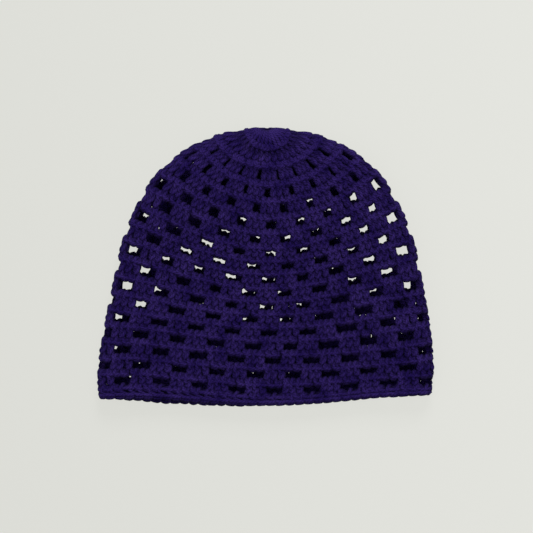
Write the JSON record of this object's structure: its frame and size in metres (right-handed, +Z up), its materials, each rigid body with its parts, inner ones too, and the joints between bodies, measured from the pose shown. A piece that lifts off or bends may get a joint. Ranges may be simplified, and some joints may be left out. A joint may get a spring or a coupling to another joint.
{
  "type": "crochet hat",
  "caption": "Openwork crochet beanie lying flat, with a solid crown centre, staggered cluster mesh and a narrow edged brim.",
  "frame": {"origin": "centre of the bounding box's bottom face, on the surface that the hat lies on", "axes": "+Z up out of the surface, +X across the flattened hat, +Y from the mouth to the crown"},
  "size_m": [0.2596, 0.2139, 0.0232],
  "materials": {
    "yarn": "matte plied yarn, very dark purple"
  },
  "bodies": {
    "root": {"crown_center": "yarn", "mesh_body": "yarn", "brim_edging": "yarn"}
  },
  "joints": []
}
